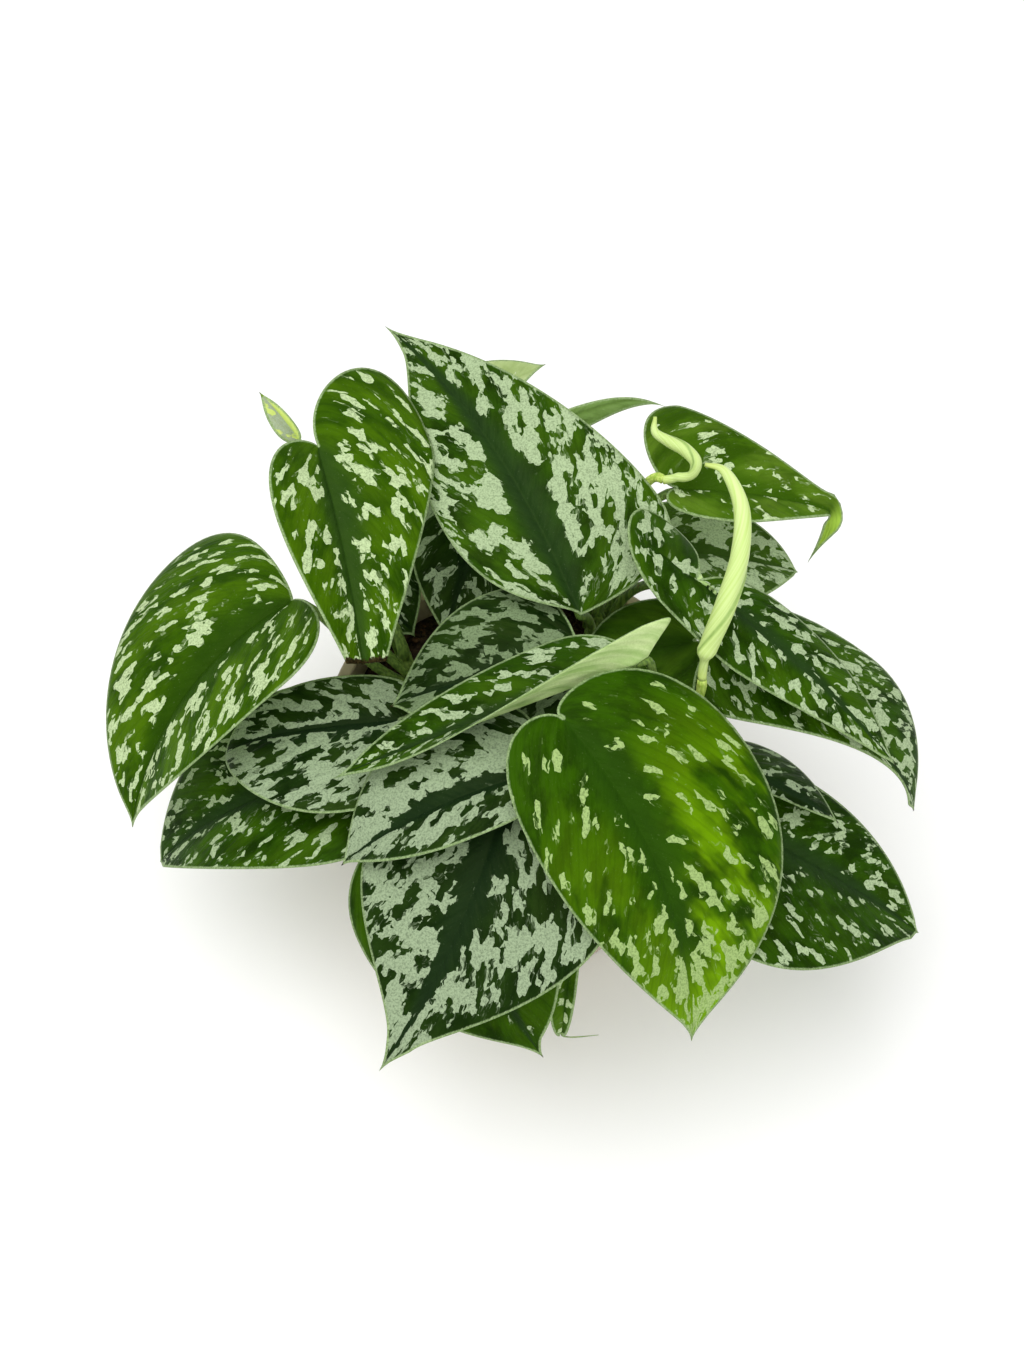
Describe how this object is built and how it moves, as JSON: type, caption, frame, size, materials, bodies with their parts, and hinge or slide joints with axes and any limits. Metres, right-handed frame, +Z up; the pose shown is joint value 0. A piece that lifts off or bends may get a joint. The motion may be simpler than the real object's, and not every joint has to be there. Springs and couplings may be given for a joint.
{
  "type": "satin pothos plant in a nursery pot",
  "caption": "Satin pothos with silver-blotched heart-shaped leaves on short vines, growing in a round plastic nursery pot.",
  "frame": {"origin": "centre of the pot's flat base, on the surface that it stands on", "axes": "+Z up along the pot's axis; -Y towards the side where the leaves hang lowest over the rim; +X to the right of that side"},
  "size_m": [0.2459, 0.2272, 0.1824],
  "materials": {
    "satin_leaf": "satin",
    "deep_leaf": "satin",
    "bright_leaf": "satin",
    "old_leaf": "satin",
    "young_leaf": "satin",
    "vine": "matte",
    "potting_mix": "matte",
    "pot_plastic": "satin"
  },
  "bodies": {
    "root": {"pot": "pot_plastic", "soil": "potting_mix", "leaf_left": "satin_leaf", "leaf_clipped": "satin_leaf", "leaf_back": "satin_leaf", "leaf_rear_left": "satin_leaf", "leaf_rear_slim": "satin_leaf", "leaf_hooked_tip": "satin_leaf", "leaf_back_right": "satin_leaf", "leaf_right_high": "satin_leaf", "leaf_right": "satin_leaf", "leaf_front_right": "bright_leaf", "leaf_low_right": "satin_leaf", "leaf_right_small": "deep_leaf", "leaf_centre": "deep_leaf", "leaf_half_open": "satin_leaf", "leaf_mid_left": "deep_leaf", "leaf_low_left": "satin_leaf", "leaf_front_left_high": "deep_leaf", "leaf_front_left": "deep_leaf", "leaf_front_under": "satin_leaf", "leaf_front_small": "satin_leaf", "leaf_under_back": "deep_leaf", "leaf_under_clipped": "deep_leaf", "leaf_old": "old_leaf", "leaf_rear_right": "satin_leaf", "leaf_rear_low": "satin_leaf", "shoot_left": "young_leaf", "shoot_right": "young_leaf", "shoot_back": "young_leaf", "vine_left": "vine", "vine_back_left": "vine", "vine_back_right": "vine", "vine_centre": "vine", "vine_right": "vine", "vine_front_right": "vine", "vine_front_left": "vine"}
  },
  "joints": []
}
